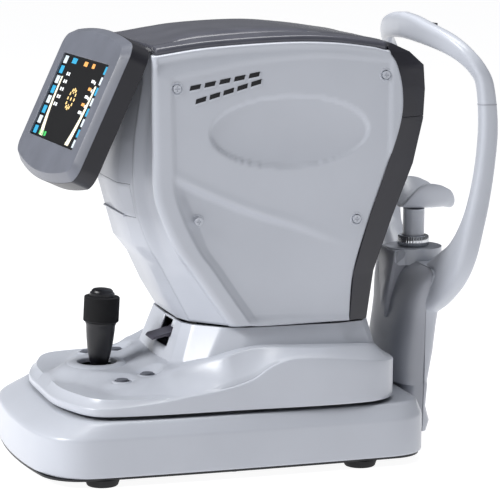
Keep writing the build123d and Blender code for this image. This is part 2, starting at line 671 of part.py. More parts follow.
def make_chin_rest():
    """Housing, knurled ring, post and chin cup."""
    housing = rod((CHIN_X, 0, 190), (0, 0, 1), 31, 17.3)
    nose = prism_y([(174, 206), (174, 194), (179, 190), (195, 190), (195, 206)], -24, 24)
    housing += nose
    housing -= rod((CHIN_X, 0, 130), (0, 0, 1), POST_RADIUS + RUNNING_FIT, 90)
    save(housing, "chinrest_housing")
    ring = tube((CHIN_X, 0, RING_LOW), (0, 0, 1), 17, POST_RADIUS + RUNNING_FIT, RING_HIGH - RING_LOW)
    save(ring, "chin_ring")
    post = rod((CHIN_X, 0, 188), (0, 0, 1), POST_RADIUS, 60) + rod((CHIN_X, 0, 140), (0, 0, 1), 6, 48)
    save(post, "chin_post")
    saddle = [(-32, 281), (-29, 283), (-25, 278), (-16, 263), (0, 258), (16, 263), (25, 278), (29, 283), (32, 281),
              (31, 266), (22, 252), (12, 248), (-12, 248), (-22, 252), (-31, 266)]
    side = [(187, 254), (195, 274), (203, 284), (216, 284), (246, 267), (243, 262), (222, 248), (190, 248)]
    save(prism_x(saddle, 184, 248) & prism_y(side, -40, 40), "chin_cup")


def make_screws(base_screws):
    """Fixing screws of the base and the headrest, one group."""
    save(Compound(children=list(base_screws) + list(make_yoke_screws().solids())), "base_screws")


os.makedirs("parts", exist_ok=True)
fixings = make_base()
make_cross_slide()
make_stage()
make_joystick()
make_head_covers()
make_head_inside()
make_monitor()
make_headrest()
make_chin_rest()
make_screws(fixings)
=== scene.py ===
import math

import bmesh
import bpy
import numpy as np
from mathutils import Matrix, Vector


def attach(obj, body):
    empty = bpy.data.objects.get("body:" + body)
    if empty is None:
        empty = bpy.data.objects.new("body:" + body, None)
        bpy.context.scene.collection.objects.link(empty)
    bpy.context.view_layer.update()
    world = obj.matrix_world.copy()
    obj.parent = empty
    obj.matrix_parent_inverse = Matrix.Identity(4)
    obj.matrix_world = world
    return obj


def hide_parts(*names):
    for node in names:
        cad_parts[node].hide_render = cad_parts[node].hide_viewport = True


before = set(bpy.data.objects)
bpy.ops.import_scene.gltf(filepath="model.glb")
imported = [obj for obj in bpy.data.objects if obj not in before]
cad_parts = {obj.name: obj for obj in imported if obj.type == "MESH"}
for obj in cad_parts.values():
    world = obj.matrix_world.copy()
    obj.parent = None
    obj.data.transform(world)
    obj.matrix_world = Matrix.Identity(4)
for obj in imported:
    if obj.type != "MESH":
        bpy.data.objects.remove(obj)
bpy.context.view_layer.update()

MM = 0.001

# ---------------------------------------------------------------------------
# Studio: a large lit sheet of white paper under and behind the instrument, one
# soft light from the operator's side, a weak one from the near side and one above.
# The camera stands on the near side, a little above the table, with a long lens.

PAPER_HALF = 30.0
sweep_mesh = bpy.data.meshes.new("studio_sweep")
sweep_bm = bmesh.new()
bmesh.ops.create_grid(sweep_bm, x_segments=1, y_segments=1, size=PAPER_HALF)
sweep_bm.to_mesh(sweep_mesh)
sweep_bm.free()
sweep = bpy.data.objects.new("studio_sweep", sweep_mesh)
bpy.context.scene.collection.objects.link(sweep)


def soft_light(name, place, aim, size, power):
    """Rectangular soft light aimed at a point."""
    data = bpy.data.lights.new(name, "AREA")
    data.shape = "RECTANGLE"
    data.size, data.size_y = size
    data.energy = power
    lamp = bpy.data.objects.new(name, data)
    lamp.location = place
    lamp.rotation_euler = (Vector(aim) - Vector(place)).to_track_quat("-Z", "Y").to_euler()
    bpy.context.scene.collection.objects.link(lamp)


# Places and sizes in metres, power in watts.
MIDDLE = (0.0, 0.0, 0.22)
soft_light("key_light", (-2.6, -0.3, 2.0), MIDDLE, (1.3, 1.3), 92)
soft_light("near_light", (-1.0, -2.6, 2.2), MIDDLE, (1.0, 0.8), 4)
soft_light("top_light", (0.1, 0.2, 2.4), MIDDLE, (1.6, 1.2), 44)

ROOM_TINT = (0.93, 0.95, 1.0, 1.0)
ROOM_STRENGTH = 0.16
world = bpy.data.worlds.new("studio_world")
world.use_nodes = True
room = world.node_tree.nodes["Background"]
room.inputs["Color"].default_value = ROOM_TINT
room.inputs["Strength"].default_value = ROOM_STRENGTH
bpy.context.scene.world = world
bpy.context.scene.view_settings.view_transform = "Standard"

VIEW_AZIMUTH = math.radians(18.0)
VIEW_ELEVATION = math.radians(9.6)
VIEW_ROLL = math.radians(0.4)
VIEW_DISTANCE = 2.553
VIEW_TARGET = Vector((0.018, 0.0, 0.2104))
SENSOR_WIDTH = 36.0
LENS_LENGTH = 172.8
ahead = Vector((math.sin(VIEW_AZIMUTH) * math.cos(VIEW_ELEVATION),
                math.cos(VIEW_AZIMUTH) * math.cos(VIEW_ELEVATION),
                -math.sin(VIEW_ELEVATION)))
level_right = Vector((math.cos(VIEW_AZIMUTH), -math.sin(VIEW_AZIMUTH), 0.0))
level_up = level_right.cross(ahead)
right = level_right * math.cos(VIEW_ROLL) + level_up * math.sin(VIEW_ROLL)
camera_data = bpy.data.cameras.new("camera")
camera_data.sensor_width = SENSOR_WIDTH
camera_data.lens = LENS_LENGTH
camera = bpy.data.objects.new("camera", camera_data)
axes = Matrix((right, right.cross(ahead), -ahead)).transposed()
camera.matrix_world = Matrix.Translation(VIEW_TARGET - ahead * VIEW_DISTANCE) @ axes.to_4x4()
bpy.context.scene.collection.objects.link(camera)
bpy.context.scene.camera = camera


def linear(code):
    """sRGB hex code to linear RGBA."""
    parts = [int(code[i:i + 2], 16) / 255 for i in (1, 3, 5)]
    light = [c / 12.92 if c <= 0.04045 else ((c + 0.055) / 1.055) ** 2.4 for c in parts]
    return tuple(light) + (1.0,)


def add_node(tree, kind, settings=(), links=()):
    """Add a node, set its properties or input values, and link its inputs."""
    node = tree.nodes.new(kind)
    for key, value in settings:
        if key in node.inputs:
            node.inputs[key].default_value = value
        else:
            setattr(node, key, value)
    for key, source in links:
        tree.links.new(source, node.inputs[key])
    return node


TONE_EDGES = (0.35, 0.65)
GRAIN_STRENGTH = 0.35


def mottled(name, light, dark, patch_mm, rough, rough_spread, grain_mm, grain_depth, metal=0.0,
            **extra):
    """Material with two close tones in soft patches, uneven gloss and a fine surface grain.

    Moulded plastic really has a grain of 0.05 to 0.2 mm and machined metal a finer one; each
    is drawn a few times coarser here, because the true one would be too fine to show.
    """
    material = bpy.data.materials.new(name)
    material.use_nodes = True
    tree = material.node_tree
    shader = tree.nodes["Principled BSDF"]
    place = add_node(tree, "ShaderNodeTexCoord").outputs["Object"]
    patch = add_node(tree, "ShaderNodeTexNoise", [("Scale", 1000 / patch_mm), ("Detail", 3.0)],
                     [("Vector", place)])
    tone = add_node(tree, "ShaderNodeValToRGB", links=[("Fac", patch.outputs["Fac"])])
    tone.color_ramp.elements[0].position = TONE_EDGES[0]
    tone.color_ramp.elements[0].color = linear(dark)
    tone.color_ramp.elements[1].position = TONE_EDGES[1]
    tone.color_ramp.elements[1].color = linear(light)
    tree.links.new(tone.outputs["Color"], shader.inputs["Base Color"])
    gloss = add_node(tree, "ShaderNodeMapRange",
                     [("To Min", rough - rough_spread), ("To Max", rough + rough_spread)],
                     [("Value", patch.outputs["Fac"])])
    tree.links.new(gloss.outputs["Result"], shader.inputs["Roughness"])
    grain = add_node(tree, "ShaderNodeTexNoise", [("Scale", 1000 / grain_mm), ("Detail", 2.0)],
                     [("Vector", place)])
    bump = add_node(tree, "ShaderNodeBump",
                    [("Strength", GRAIN_STRENGTH), ("Distance", grain_depth * MM)],
                    [("Height", grain.outputs["Fac"])])
    tree.links.new(bump.outputs["Normal"], shader.inputs["Normal"])
    shader.inputs["Metallic"].default_value = metal
    for key, value in extra.items():
        shader.inputs[key.replace("_", " ")].default_value = value
    return material


# Paper lit from behind: an even white with no visible edge.
paper_sweep = mottled("backlit_white_paper", "#8C8C90", "#88888C", 400, 0.9, 0.02, 2.0, 0.02,
                      Emission_Color=(1.0, 1.0, 1.0, 1.0), Emission_Strength=0.93)
sweep_mesh.materials.append(paper_sweep)

# ---------------------------------------------------------------------------
# Base plate and feet: pressed steel plate, painted black, closes the base from
# below; four turned rubber feet and the rack rails are screwed to it.

# Baked enamel: near black with a half gloss and a faint unevenness.
black_paint = mottled("black_enamel_on_steel", "#1B1C20", "#141518", 60, 0.45, 0.06, 0.8, 0.02)
# Nitrile rubber: black, dull and slightly grainy.
nitrile = mottled("moulded_nitrile_rubber", "#17171A", "#101013", 12, 0.78, 0.08, 0.7, 0.12)
# Ground steel: light grey, with broad and slightly broken reflections.
ground_steel = mottled("ground_tool_steel", "#B9BABD", "#9FA1A5",
                       3, 0.28, 0.08, 0.4, 0.02, metal=1.0)
# Milled aluminium: paler and duller than the steel.
cast_aluminium = mottled("milled_aluminium", "#C9CBCE", "#B3B6BA",
                         5, 0.35, 0.08, 0.5, 0.02, metal=1.0)


SHARP_FROM = 40


def dress(node, material, edge_mm=0.0):
    """Give a CAD node its material, and break its sharp edges where asked."""
    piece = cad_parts[node]
    piece.data.materials.clear()
    piece.data.materials.append(material)
    for face in piece.data.polygons:
        face.material_index = 0
    if edge_mm:
        edge = piece.modifiers.new("broken_edges", "BEVEL")
        edge.width = edge_mm * MM
        edge.segments = 2
        edge.limit_method = "ANGLE"
        edge.angle_limit = math.radians(SHARP_FROM)


dress("base_plate", black_paint)
dress("base_screws", ground_steel)
dress("rack_rails", ground_steel)


SAME_POINT = 1e-6


def finished(bm, name, material, body, replaced=(), wall_mm=0.0, sharp=38):
    """Turn a bmesh into an object that rides on a body, with smooth shading between sharp edges."""
    mesh = bpy.data.meshes.new(name)
    bm.to_mesh(mesh)
    bm.free()
    mesh.materials.append(material)
    mesh.shade_smooth()
    mesh.set_sharp_from_angle(angle=math.radians(sharp))
    piece = bpy.data.objects.new(name, mesh)
    bpy.context.scene.collection.objects.link(piece)
    if wall_mm:
        wall = piece.modifiers.new("wall", "SOLIDIFY")
        wall.thickness = wall_mm * MM
        wall.offset = -1.0
    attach(piece, body)
    if replaced:
        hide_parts(*replaced)
    return piece


def turned(name, profile, material, body, replaced=(), steps=64, place=None,
           sharp=38):
    """Object turned on the Z axis from a profile of radius and height in millimetres."""
    bm = bmesh.new()
    verts = [bm.verts.new((r * MM, 0, z * MM)) for r, z in profile]
    edges = [bm.edges.new(pair) for pair in zip(verts, verts[1:])]
    bmesh.ops.spin(bm, geom=verts + edges, cent=(0, 0, 0), axis=(0, 0, 1), angle=2 * math.pi,
                   steps=steps, use_merge=True)
    bmesh.ops.remove_doubles(bm, verts=bm.verts, dist=SAME_POINT)
    bmesh.ops.recalc_face_normals(bm, faces=bm.faces)
    if place is not None:
        bmesh.ops.transform(bm, matrix=place, verts=bm.verts)
    return finished(bm, name, material, body, replaced, 0.0, sharp)


FOOT_PROFILE = [(0, 0.2), (12, 0.2), (13, 0), (15.2, 0), (16, 0.8), (17.6, 5.5), (18.2, 7.6),
                (17.4, 8), (0, 8)]
FOOT_PLACES = ((-176, -122), (-176, 122), (100, -122), (100, 122))
for number, (x, y) in enumerate(FOOT_PLACES, 1):
    foot = turned("rubber_foot_%d" % number, FOOT_PROFILE, nitrile, "base",
                  place=Matrix.Translation((x * MM, y * MM, 0)))
    if number == 1:
        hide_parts("rubber_feet")

# ---------------------------------------------------------------------------
# Base cover: injection-moulded ABS in a bluish white, semi-gloss, with an upright
# wall, a soft crease and a long bevel up to the flat that the stage glides over.

# Moulded ABS with a fine spark grain: bluish white, with soft wide highlights.
white_abs = mottled("bluish_white_moulded_abs", "#C0C4CD", "#BCC0C9", 90, 0.3, 0.04, 0.5, 0.02,
                    Coat_Weight=0.12, Coat_Roughness=0.25)


def through(points, count):
    """Points evenly spaced on a smooth curve through the given ones."""
    known = np.array(points, float)
    padded = np.vstack([2 * known[0] - known[1], known, 2 * known[-1] - known[-2]])
    found = []
    for place in np.linspace(0, len(known) - 1, count):
        index = min(int(place), len(known) - 2)
        t = place - index
        a, b, c, d = padded[index:index + 4]
        square = 2 * a - 5 * b + 4 * c - d
        cube = 3 * b - a - 3 * c + d
        found.append(0.5 * (2 * b + (c - a) * t + square * t ** 2 + cube * t ** 3))
    return np.array(found)


def woven(name, rows, material, body, replaced=(), closed=False, wall_mm=0.0, sharp=38,
          cut=None, flip=False, caps=False):
    """Object from rows of points in millimetres: a grid bent onto them, with an optional wall."""
    rows = np.array(rows, float)
    count_v, count_u = rows.shape[:2]
    bm = bmesh.new()
    bmesh.ops.create_grid(bm, x_segments=count_u - 1, y_segments=count_v - 1, size=1.0)
    for vert in bm.verts:
        u = round((vert.co.x + 1) / 2 * (count_u - 1))
        v = round((vert.co.y + 1) / 2 * (count_v - 1))
        vert.co = Vector(rows[v, u]) * MM
    if closed:
        bmesh.ops.remove_doubles(bm, verts=bm.verts, dist=SAME_POINT)
    if cut:
        cut(bm)
    if caps:
        bmesh.ops.holes_fill(bm, edges=[e for e in bm.edges if e.is_boundary])
    if closed and caps:
        bmesh.ops.recalc_face_normals(bm, faces=bm.faces)
    elif flip:
        bmesh.ops.reverse_faces(bm, faces=bm.faces)
    return finished(bm, name, material, body, replaced, wall_mm, sharp)


def evened(dense, count):
    """Points at equal steps of length along a dense curve."""
    steps = np.concatenate([[0], np.cumsum(np.linalg.norm(np.diff(dense, axis=0), axis=1))])
    wanted = np.linspace(0, steps[-1], count)
    return np.column_stack([np.interp(wanted, steps, dense[:, axis]) for axis in (0, 1)])


DENSE = 600
RING_HALF = 121
SMOOTHINGS = 7


def plan_ring(rear, front, half, rear_round, front_round, bow, z):
    """Closed row of points round a bowed, round-cornered plan at height z."""
    side = [(rear, 0), (rear + bow * 0.12, -half * 0.35),
            (rear + bow * 0.45, -(half - rear_round) * 0.98)]
    corner = []
    for step in range(1, 8):
        turn = math.pi + step * math.pi / 16
        corner.append((rear + bow * 0.62 + rear_round + rear_round * math.cos(turn),
                       -half + 2 + rear_round + rear_round * math.sin(turn)))
    side += corner + [(rear + bow + rear_round + 20, -half + 1)]
    side += [((rear + front) / 2, -half - 0.5), (front - front_round - 30, -half + 1)]
    for step in range(0, 9):
        turn = 1.5 * math.pi + step * math.pi / 16
        side.append((front - front_round + front_round * math.cos(turn),
                     -half + 2 + front_round + front_round * math.sin(turn)))
    side += [(front + 1, 0)]
    near = evened(through(side, DENSE), RING_HALF)
    ring = np.vstack([near[:-1], near[:0:-1] * (1, -1)])
    for settle in range(SMOOTHINGS):
        ring = (np.roll(ring, 1, axis=0) + 2 * ring + np.roll(ring, -1, axis=0)) / 4
    ring = np.vstack([ring, ring[:1]])
    return np.column_stack([ring, np.full(len(ring), z)])


BASE_REAR, BASE_FRONT, BASE_HALF = -246, 174, 142
REAR_ROUND, FRONT_ROUND, REAR_BOW = 46, 36, 20
OPEN_REAR, OPEN_FRONT, OPEN_HALF = -78, 92, 93
BASE_RINGS = (
    # rear and side inset, height
    (2.2, 2.2, 10.2), (0.5, 0.5, 10.8), (0, 0, 12.5), (0, 0, 30), (0.2, 0.2, 47),
    (0.6, 0.5, 49.8), (2.6, 1.2, 51.6), (6, 2.1, 53.6), (14, 3.6, 57.6), (23, 5.4, 61.8),
    (28, 6.8, 64.4), (31.5, 8.2, 65.3), (38, 13, 65.5),
)
base_rows = [plan_ring(BASE_REAR + rear, BASE_FRONT - side, BASE_HALF - side,
                       REAR_ROUND - side, FRONT_ROUND - side, REAR_BOW, z)
             for rear, side, z in BASE_RINGS]
inner_rim = base_rows[-1].copy()
inner_rim[:, 0] = np.clip(inner_rim[:, 0], OPEN_REAR, OPEN_FRONT)
inner_rim[:, 1] = np.clip(inner_rim[:, 1], -OPEN_HALF, OPEN_HALF)
base_rows += [inner_rim]
woven("base_cover_skin", base_rows, white_abs, "base", ["base_cover"], closed=True,
      wall_mm=2.4, sharp=60)

# ---------------------------------------------------------------------------
# Power inlet, rocker switch and supply: moulded module on the far side of the
# base, with a rocker on a cross pin and a boxed supply on the plate.

# Moulded nylon: soft black, neither shiny nor dull.
satin_black = mottled("satin_black_nylon", "#1D1D21", "#18181B", 30, 0.42, 0.06, 0.5, 0.02)
# Zinc-plated sheet: cool grey with patchy brightness.
plated_sheet = mottled("zinc_plated_sheet", "#A9ADB0", "#94999D",
                       18, 0.38, 0.08, 0.6, 0.02, metal=1.0)
# Solder mask over copper: dark green, slightly uneven.
circuit_green = mottled("green_solder_mask", "#1E5A3A", "#184B30", 9, 0.4, 0.08, 0.8, 0.02)
dress("power_inlet", satin_black, 0.3)
dress("power_switch", satin_black, 0.4)
dress("power_supply", plated_sheet, 0.4)

# ---------------------------------------------------------------------------
# Cross slide: two racks, a cross axle with pinions and linear bearings carry the
# stage under its cover; steel and aluminium, greased.

dress("crossbar", cast_aluminium, 0.4)
dress("cross_axle", ground_steel)
dress("pinion_wheels", ground_steel)
dress("linear_bearings", ground_steel, 0.3)

# ---------------------------------------------------------------------------
# Stage: an aluminium plate with lift rods, motor and screw under a one-piece
# moulded cover that rises in a soft slope to a pedestal under the head.

dress("stage_plate", cast_aluminium, 0.4)
dress("keypad_boards", circuit_green)
dress("lift_guide_rods", ground_steel)
dress("lift_motor", satin_black, 0.5)
dress("lift_screw", ground_steel)
dress("lift_shroud", satin_black, 0.5)

# Plans of the cover's edge, of the pedestal's foot and of its neck: x, y of the near half.
PLAN_NEAR = ((-212, 0), (-211, -50), (-203, -84), (-190, -113), (-170, -126), (-120, -132),
             (-25, -135), (55, -138), (100, -136), (122, -129), (136, -116), (142, -95), (143, 0))
FOOT_NEAR = ((-91, 0), (-88, -60), (-80, -78), (-56, -96), (-20, -104), (90, -104),
             (118, -98), (130, -80), (131, 0))
NECK_NEAR = ((-76, 0), (-74, -54), (-66, -68), (-40, -90), (-13, -98), (80, -100),
             (111, -94), (122, -78), (123, 0))
# Heights of the wall's top edge and of the deck's middle: x, z.
WALL_HEIGHT = ((-212, 78), (-165, 79), (-118, 83), (-84, 88), (-50, 93), (-22, 101),
               (-5, 112), (12, 119), (29, 121), (64, 119), (99, 115), (143, 110))
DECK_HEIGHT = ((-206, 80), (-176, 94), (-150, 98), (-108, 98.5), (-92, 106), (-60, 117),
               (-15, 129), (36, 128), (114, 124), (136, 116))


def cornered(near, count):
    """Near half of a plan of straight runs with slightly eased corners."""
    places = np.linspace(0, len(near) - 1, count)
    line = np.column_stack([np.interp(places, range(len(near)), [point[axis] for point in near])
                            for axis in (0, 1)])
    for settle in range(3):
        line[1:-1] = (line[:-2] + 2 * line[1:-1] + line[2:]) / 4
    return line


TABLE_POINTS = 400


def smooth_height(table, x):
    """Height from a table of x and height, smoothed."""
    dense = through(table, TABLE_POINTS)
    return np.interp(x, dense[:, 0], dense[:, 1])


# Two buttons on the near side, mirrored on the far side: x, y, z.
BUTTONS = ((-142.5, 74, 93), (-113, 64, 96))
STICK_X = -150
NEAR_COUNT = 181
SKIRT_TOP = 73
EDGE_INSET = 2.4
FOOT_HEIGHT = 106.0
NECK_HEIGHT = 147
RIM_HEIGHT = 98.4
RIM_RADIUS = 29
plan_near = evened(through(PLAN_NEAR, 900), NEAR_COUNT)
foot_near = cornered(FOOT_NEAR, NEAR_COUNT)
neck_near = cornered(NECK_NEAR, NEAR_COUNT)
wall_height = smooth_height(WALL_HEIGHT, plan_near[:, 0])
inward = foot_near - plan_near
reach = np.linalg.norm(inward, axis=1, keepdims=True)
inward_unit = inward / reach


def stage_row(plan, height):
    """Closed row from the near half of a plan and its heights."""
    near = np.column_stack([plan, np.broadcast_to(height, len(plan))])
    return np.vstack([near, near[-2::-1] * (1, -1, 1)])


def eased(t):
    """Smooth step from 0 to 1."""
    t = np.clip(t, 0, 1)
    return t * t * (3 - 2 * t)


stage_rows = [stage_row(plan_near + inward_unit * inset, height)
              for inset, height in ((2.5, 69.5), (0.8, 69.6), (0, 70.6), (0, SKIRT_TOP))]
for part in (0.35, 0.7):
    stage_rows.append(stage_row(plan_near, SKIRT_TOP + (wall_height - 3 - SKIRT_TOP) * part))
for inset, drop in ((0.0, 2.2), (0.4, 1.0), (1.2, 0.3), (EDGE_INSET, 0.0)):
    stage_rows.append(stage_row(plan_near + inward_unit * inset, wall_height - drop))
for part in np.linspace(0.05, 1.0, 26):
    plan = plan_near + inward_unit * EDGE_INSET
    plan = plan + (foot_near - plan_near - inward_unit * EDGE_INSET) * part
    span = np.linalg.norm(plan - plan_near, axis=1)
    deck = smooth_height(DECK_HEIGHT, plan[:, 0])
    ramp = 22 + 58 * eased(np.abs(plan[:, 1]) / 80) * (1 - eased((plan[:, 0] + 90) / 50))
    blend = np.minimum(span / ramp, 1.0)
    height = wall_height * (1 - blend) + deck * blend
    ease_up = eased((part - 0.7) / 0.3)
    height = height * (1 - ease_up) + np.maximum(deck, FOOT_HEIGHT) * ease_up
    from_hole = np.hypot(plan[:, 0] - STICK_X, plan[:, 1])
    raised = np.maximum(height, RIM_HEIGHT - 12 * eased((from_hole - RIM_RADIUS) / 26))
    height = np.where(ease_up < 0.05, raised, height)
    for button_x, button_y, button_z in BUTTONS:
        away = np.hypot(plan[:, 0] - button_x, np.abs(plan[:, 1]) - button_y)
        near_button = eased((18 - away) / 8)
        height = height * (1 - near_button) + (button_z + 0.4) * near_button
    stage_rows.append(stage_row(plan, height))
last_height = stage_rows[-1][:NEAR_COUNT, 2]
for part in (0.06, 0.14, 0.3, 0.55, 0.8, 1.0):
    plan = foot_near + (neck_near - foot_near) * part
    stage_rows.append(stage_row(plan, last_height + (NECK_HEIGHT - last_height) * part))
lip = neck_near * (0.965, 0.965)
stage_rows.append(stage_row(lip, NECK_HEIGHT + 0.4))

COLLAR_HOLE = 26
BUTTON_HOLE = 7.4
HOLES_ABOVE = 80


def stage_holes(bm):
    """Open the cover under the joystick collar and the buttons and at the lock lever."""
    gone = []
    for face in bm.faces:
        spot = face.calc_center_median() / MM
        on_deck = spot.z > HOLES_ABOVE
        under_collar = math.hypot(spot.x - STICK_X, spot.y) < COLLAR_HOLE
        under_button = any(math.hypot(spot.x - x, abs(spot.y) - y) < BUTTON_HOLE
                           for x, y, z in BUTTONS)
        at_lever = -37 < spot.y < -1 and spot.x < -60 and 118 < spot.z < 143
        if on_deck and (under_collar or under_button) or at_lever:
            gone.append(face)
    bmesh.ops.delete(bm, geom=gone, context="FACES")


woven("stage_cover_skin", stage_rows, white_abs, "stage", ["stage_cover"], closed=True,
      wall_mm=2.2, sharp=50, cut=stage_holes)

# ---------------------------------------------------------------------------
# Joystick collar: soft raised ring of the cover round the joystick opening, same
# bluish white moulding.

COLLAR_PROFILE = [(20.5, 95), (20.5, 98.8), (21.0, 99.7), (22.2, 100.1), (27, 99.8),
                  (30.5, 98.9), (33, 97.2), (33.4, 95), (20.5, 95)]
turned("stage_cover_collar", COLLAR_PROFILE, white_abs, "stage",
       place=Matrix.Translation((STICK_X * MM, 0, 0)), sharp=60)

# ---------------------------------------------------------------------------
# Panel buttons and lock lever: grey silicone domes in white bezels in the deck,
# and a grey moulded lever in a slot of the pedestal.

# Silicone rubber: mid grey with a soft sheen.
button_rubber = mottled("grey_silicone_rubber", "#666972", "#5F626B", 8, 0.55, 0.06, 0.5, 0.03)
# Moulded PBT: purple grey, semi-matt.
lever_plastic = mottled("purple_grey_moulded_pbt", "#4A4854", "#42404B", 14, 0.42, 0.06, 0.5, 0.03)
BUTTON_RING = [(7.7, -2.0), (7.7, 0.9), (8.1, 1.3), (9.2, 1.1), (10.6, 0.2), (11.4, -2.0)]
button_places = [(x, side * y, z) for x, y, z in BUTTONS for side in (-1, 1)]
for number, (x, y, z) in enumerate(button_places, 1):
    place = Matrix.Translation((x * MM, y * MM, z * MM))
    turned("button_bezel_%d" % number, BUTTON_RING, white_abs, "stage", place=place,
           steps=40)
    dress("panel_button_%d" % number, button_rubber, 0.8)
dress("lock_lever", lever_plastic, 0.8)

# ---------------------------------------------------------------------------
# Joystick: ground steel shaft on a gimbal, dark dish over the opening, flared
# satin grip, ribbed rubber height ring and a domed button on top. Profiles are
# radius and height above the gimbal.

LEAN = math.radians(3.0)
stick_place = Matrix.Translation((-0.149, 0, 0.0805)) @ Matrix.Rotation(LEAN, 4, "Y")
# Satin ABS: black with a narrow soft highlight down the flare.
grip_plastic = mottled("satin_black_abs", "#131319", "#101014", 25, 0.34, 0.05, 0.5, 0.02)
dress("gimbal_ring", ground_steel, 0.3)
dress("joystick_shaft", ground_steel)
GRIP_PROFILE = [(0, 15), (6, 15), (8.4, 16), (9.8, 18.5), (11.4, 25), (12.9, 33), (14.2, 43),
                (15.1, 53), (15.4, 58), (16.4, 60.6), (16.2, 61.4), (0, 61.4)]
turned("joystick_grip_skin", GRIP_PROFILE, grip_plastic, "joystick", ["joystick_grip"],
       place=stick_place)
DISH_PROFILE = [(2.4, 9.2), (8, 9.8), (14, 9.2), (18, 8.4), (19, 8.6), (18.8, 9.4), (14, 11),
                (8, 12.2), (2.4, 12.4), (2.4, 9.2)]
turned("joystick_dish_skin", DISH_PROFILE, grip_plastic, "joystick", ["joystick_dish"],
       place=stick_place)
RIB_COUNT = 25
FIRST_RIB = 63.2
ring_profile = [(13.4, 61.8), (17.6, 61.8), (18.5, 62.6)]
for step in range(RIB_COUNT):
    low = FIRST_RIB + step
    ring_profile += [(18.7, low), (18.7, low + 0.45), (18.0, low + 0.6), (18.0, low + 0.85)]
ring_profile += [(18.5, 88.0), (17.6, 88.7), (13.4, 88.7), (13.4, 61.8)]
turned("joystick_ring_skin", ring_profile, nitrile, "height_ring", ["joystick_ring"],
       place=stick_place)
CAP_PROFILE = [(0, 97.3), (6, 97), (9.6, 96.2), (11.2, 94.8), (11.6, 93.4), (12, 92.9),
               (13, 92.4), (13.2, 91), (13.2, 84), (0, 84)]
turned("joystick_button_skin", CAP_PROFILE, grip_plastic, "measure_button",
       ["joystick_button"], place=stick_place)

# ---------------------------------------------------------------------------
# Head side covers: one ABS moulding each side, from the seam beside the rear
# cover, round the operator corner and along the side to the front frame, with a
# recessed panel, a sweeping ridge, an oval field, slanted vents and four screws.

# Seam, corner and side lines: x at each height. Top lines: x, z.
HEAD_HEIGHTS = (150, 178, 210, 229, 258, 291, 340, 400)
REAR_SEAM = (-68, -83, -100, -111, -122, -128, -127, -118)
REAR_CORNER = (-36, -56, -78, -92, -106, -116, -117, -118)
REAR_SIDE = (-26, -46, -68, -82, -97, -108, -110, -112)
TOP_SIDE = ((-113, 431), (-60, 438), (16, 442), (69, 441), (112, 436), (129, 432))
FRONT_HEIGHTS = (150, 200, 256, 311, 357, 388, 413, 427, 440)
FRONT_SEAM = (93, 97, 113.5, 133, 147, 148, 142, 134, 129)
VENTS = [(-74 + 62 * step / 4, 396 + 11 * step / 4) for step in range(5)]
VENTS += [(-68 + 58 * step / 4, 383 + 16 * step / 4) for step in range(5)]
COVER_SCREWS = ((-93, 395), (130, 404), (-70, 260), (100, 256))


def curve(keys, values):
    """Dense smooth curve through pairs of key and value, in rising order of key."""
    return through(sorted(zip(keys, values)), TABLE_POINTS)


def read(dense, key):
    """Value of a dense curve at a key."""
    return float(np.interp(key, dense[:, 0], dense[:, 1]))


# Height of the lower edge, and how far out the seam, the corner and the side stand.
HEAD_BOTTOM = 150
SEAM_Y, CORNER_Y, SIDE_Y = 62, 96, 104
TOP_DROP = 4.5
RECESS = 1.4
OVAL_X, OVAL_Z, OVAL_LONG, OVAL_HIGH = 27, 349, 86, 36.5
PANEL_TOP = ((-102, 404), (-60, 412), (-17, 419.5), (30, 423.5), (68, 424.5), (128, 419))
SWEEP_RIDGE = ((-106, 312), (-69, 293), (-16, 270), (38, 252), (66, 241), (110, 226))
LOWER_FACET = ((150, -44), (210, -53), (260, -71), (300, -90))
seam_curve = curve(HEAD_HEIGHTS, REAR_SEAM)
corner_curve = curve(HEAD_HEIGHTS, REAR_CORNER)
rear_side_curve = curve(HEAD_HEIGHTS, REAR_SIDE)
front_seam_curve = curve(FRONT_HEIGHTS, FRONT_SEAM)
top_side_curve = through(TOP_SIDE, TABLE_POINTS)
panel_curve = through(PANEL_TOP, TABLE_POINTS)
ridge_curve = through(SWEEP_RIDGE, TABLE_POINTS)
facet_curve = through(LOWER_FACET, TABLE_POINTS)


def side_relief(x, z, rear):
    """Outward offset of the side surface in millimetres."""
    rim = rear + 12.0
    inside = eased((read(panel_curve, x) - z) / 5.0 + 0.5)
    inside = inside * eased((x - rim) / 4.0) * eased((138 - x) / 5.0)
    under = read(ridge_curve, x) - z
    fade = eased((104 - x) / 110)
    facet_end = max(read(facet_curve, z), rim + 12)
    slant = min(max((x - rim) / (facet_end - rim), 0.0), 1.0)
    upper = -RECESS * inside
    lower = -RECESS * inside - 4.6 * fade * slant
    mix = eased(under / 7.0)
    relief = upper * (1 - mix) + lower * mix
    relief += 0.7 * fade * inside * math.exp(-((under + 2.0) / 5.0) ** 2)
    relief -= 0.16 * max(0.0, z - read(panel_curve, x) - 2.0)
    spot = math.hypot((x - OVAL_X) / OVAL_LONG, (z - OVAL_Z) / OVAL_HIGH)
    relief -= 2.4 * eased((1.0 - spot) / 0.03) + 3.0 * max(0.0, 1 - spot * spot)
    return relief


SCREW_HOLE = 4.8


def screw_holes(bm):
    """Open the side wall at the four screws."""
    gone = []
    for face in bm.faces:
        spot = face.calc_center_median() / MM
        if abs(spot.y) < SIDE_Y - 4:
            continue
        if any(math.hypot(spot.x - x, spot.z - z) < SCREW_HOLE for x, z in COVER_SCREWS):
            gone.append(face)
    bmesh.ops.delete(bm, geom=gone, context="FACES")


